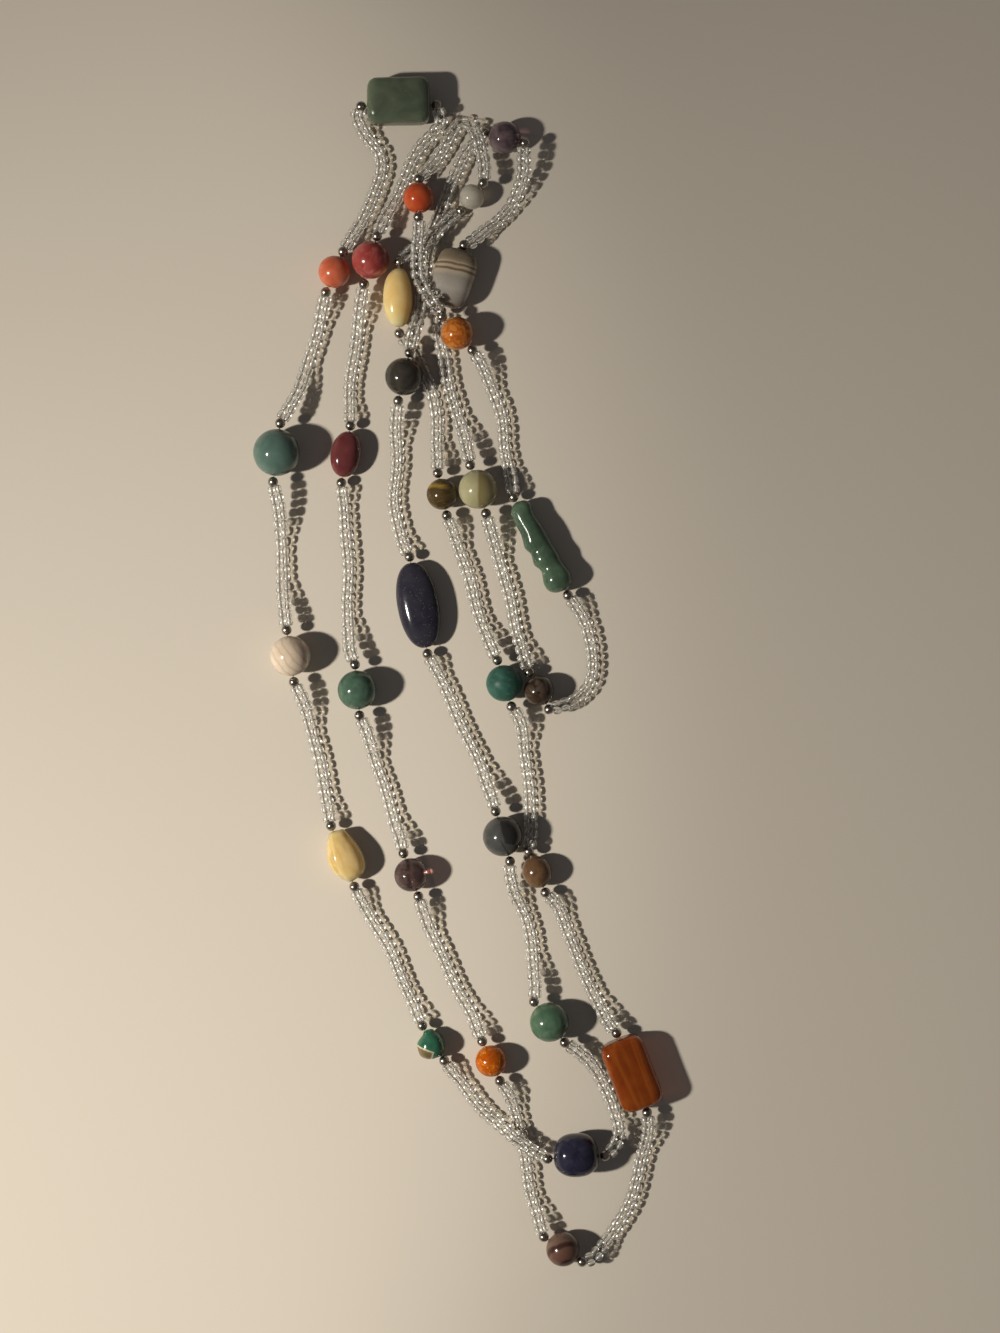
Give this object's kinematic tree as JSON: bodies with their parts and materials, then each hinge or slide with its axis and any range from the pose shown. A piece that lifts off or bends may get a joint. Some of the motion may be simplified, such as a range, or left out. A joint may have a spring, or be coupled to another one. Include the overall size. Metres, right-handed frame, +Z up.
{
  "type": "beaded necklace",
  "caption": "Long endless necklace of large polished stone beads joined by paired strands of clear glass seed beads with metal spacer balls, lying in loose loops.",
  "frame": {"origin": "middle of the bounding box, on the surface that the necklace lies on", "axes": "+Z up out of the surface, +Y along the length of the laid-out loops, +X to the right of that seen from above"},
  "size_m": [0.1044, 0.3042, 0.012],
  "materials": {
    "moss_agate": "polished translucent moss agate, dull green",
    "coral_stone": "polished coral-coloured stone",
    "teal_stone": "polished teal-green stone",
    "cream_agate": "polished banded cream agate",
    "yellow_stone": "polished translucent yellow stone",
    "green_nugget": "polished green stone with a tan patch",
    "navy_stone": "polished dark navy stone",
    "green_aventurine": "polished green aventurine",
    "slate_stone": "polished slate stone with dark patches",
    "blue_goldstone": "polished dark violet stone with fine flecks",
    "black_onyx": "polished black onyx",
    "milky_quartz": "polished milky quartz",
    "orange_stone": "polished orange-red stone",
    "amber_crackle": "polished orange crackle agate",
    "carved_jade": "polished jade, carved in lobes",
    "mottled_stone": "polished mottled brown stone",
    "olive_agate": "polished translucent olive agate",
    "banded_agate": "satin grey agate with thin bands",
    "amethyst": "polished dark amethyst",
    "honey_stone": "polished translucent honey stone",
    "tiger_eye": "polished tiger eye with a gold band",
    "turquoise": "satin mottled turquoise",
    "tan_stone": "polished tan stone",
    "carnelian": "polished translucent carnelian",
    "brown_agate": "polished brown agate with a dark band",
    "orange_crackle": "polished orange crackle agate",
    "smoky_quartz": "polished clear smoky quartz",
    "dark_aventurine": "polished dark green aventurine",
    "red_stone": "polished dark red stone",
    "cherry_quartz": "polished cherry quartz with streaks",
    "seed_glass": "clear polished glass seed beads",
    "steel_spacer": "mirror-polished metal spacer balls",
    "thread": "fine pale thread"
  },
  "bodies": {
    "root": {"bead_01_moss_slab": "moss_agate", "bead_02_coral_round": "coral_stone", "bead_03_teal_round": "teal_stone", "bead_04_cream_round": "cream_agate", "bead_05_yellow_pear": "yellow_stone", "bead_06_green_nugget": "green_nugget", "bead_07_navy_barrel": "navy_stone", "bead_08_green_round": "green_aventurine", "bead_09_slate_round": "slate_stone", "bead_10_blue_oval": "blue_goldstone", "bead_11_black_round": "black_onyx", "bead_12_milky_round": "milky_quartz", "bead_13_orange_egg": "orange_stone", "bead_14_crackle_round": "amber_crackle", "bead_15_carved_jade": "carved_jade", "bead_16_mottled_round": "mottled_stone", "bead_17_olive_round": "olive_agate", "bead_18_banded_barrel": "banded_agate", "bead_19_amethyst_round": "amethyst", "bead_20_yellow_oval": "honey_stone", "bead_21_tiger_eye_round": "tiger_eye", "bead_22_turquoise_round": "turquoise", "bead_23_tan_round": "tan_stone", "bead_24_carnelian_slab": "carnelian", "bead_25_brown_banded_round": "brown_agate", "bead_26_orange_crackle_round": "orange_crackle", "bead_27_smoky_round": "smoky_quartz", "bead_28_aventurine_round": "dark_aventurine", "bead_29_red_oval": "red_stone", "bead_30_cherry_round": "cherry_quartz", "strand_01": "seed_glass", "strand_02": "seed_glass", "strand_03": "seed_glass", "strand_04": "seed_glass", "strand_05": "seed_glass", "strand_06": "seed_glass", "strand_07": "seed_glass", "strand_08": "seed_glass", "strand_09": "seed_glass", "strand_10": "seed_glass", "strand_11": "seed_glass", "strand_12": "seed_glass", "strand_13": "seed_glass", "strand_14": "seed_glass", "strand_15": "seed_glass", "strand_16": "seed_glass", "strand_17": "seed_glass", "strand_18": "seed_glass", "strand_19": "seed_glass", "strand_20": "seed_glass", "strand_21": "seed_glass", "strand_22": "seed_glass", "strand_23": "seed_glass", "strand_24": "seed_glass", "strand_25": "seed_glass", "strand_26": "seed_glass", "strand_27": "seed_glass", "strand_28": "seed_glass", "strand_29": "seed_glass", "strand_30": "seed_glass"}
  },
  "joints": []
}
